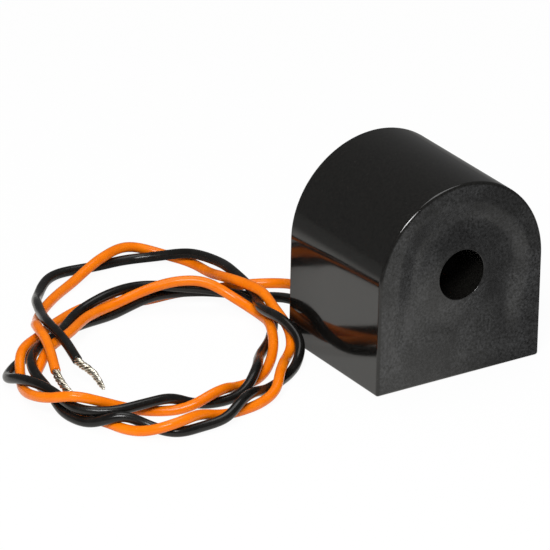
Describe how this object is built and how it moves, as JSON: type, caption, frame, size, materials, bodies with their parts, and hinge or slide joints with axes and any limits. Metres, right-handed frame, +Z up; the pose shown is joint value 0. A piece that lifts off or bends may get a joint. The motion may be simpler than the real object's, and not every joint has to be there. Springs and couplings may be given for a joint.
{
  "type": "current sensor",
  "caption": "Arch-topped moulded current sensor, potted, with a bore for the measured conductor and coiled orange and black wire leads with stripped, tinned ends.",
  "frame": {"origin": "middle of the case's base, on the plane that it stands on", "axes": "+X to the right seen from the closed front face, +Y along the bore from the front face to the potted rear, +Z up"},
  "size_m": [0.0605, 0.0494, 0.025],
  "materials": {
    "case_plastic": "glossy black moulding with a finely grained matte front face",
    "resin": "cast black resin with a smooth, slightly sunken surface",
    "core_metal": "wound magnetic strip",
    "box_plastic": "plain moulding",
    "enamelled_wire": "enamelled copper wire",
    "tape": "polyester tape",
    "solder": "bright solder",
    "sleeve": "shrunk sleeve",
    "orange_insulation": "soft satin insulation",
    "black_insulation": "soft satin insulation",
    "tinned_copper": "tinned, twisted strands, slightly dulled"
  },
  "bodies": {
    "root": {"case": "case_plastic", "potting_compound": "resin", "core": "core_metal", "core_box": "box_plastic", "core_box_cover": "box_plastic", "secondary_winding": "enamelled_wire", "winding_tape": "tape", "orange_joint": "solder", "black_joint": "solder", "orange_sleeve": "sleeve", "black_sleeve": "sleeve", "orange_lead": "orange_insulation", "black_lead": "black_insulation", "orange_strands": "tinned_copper", "black_strands": "tinned_copper"}
  },
  "joints": []
}
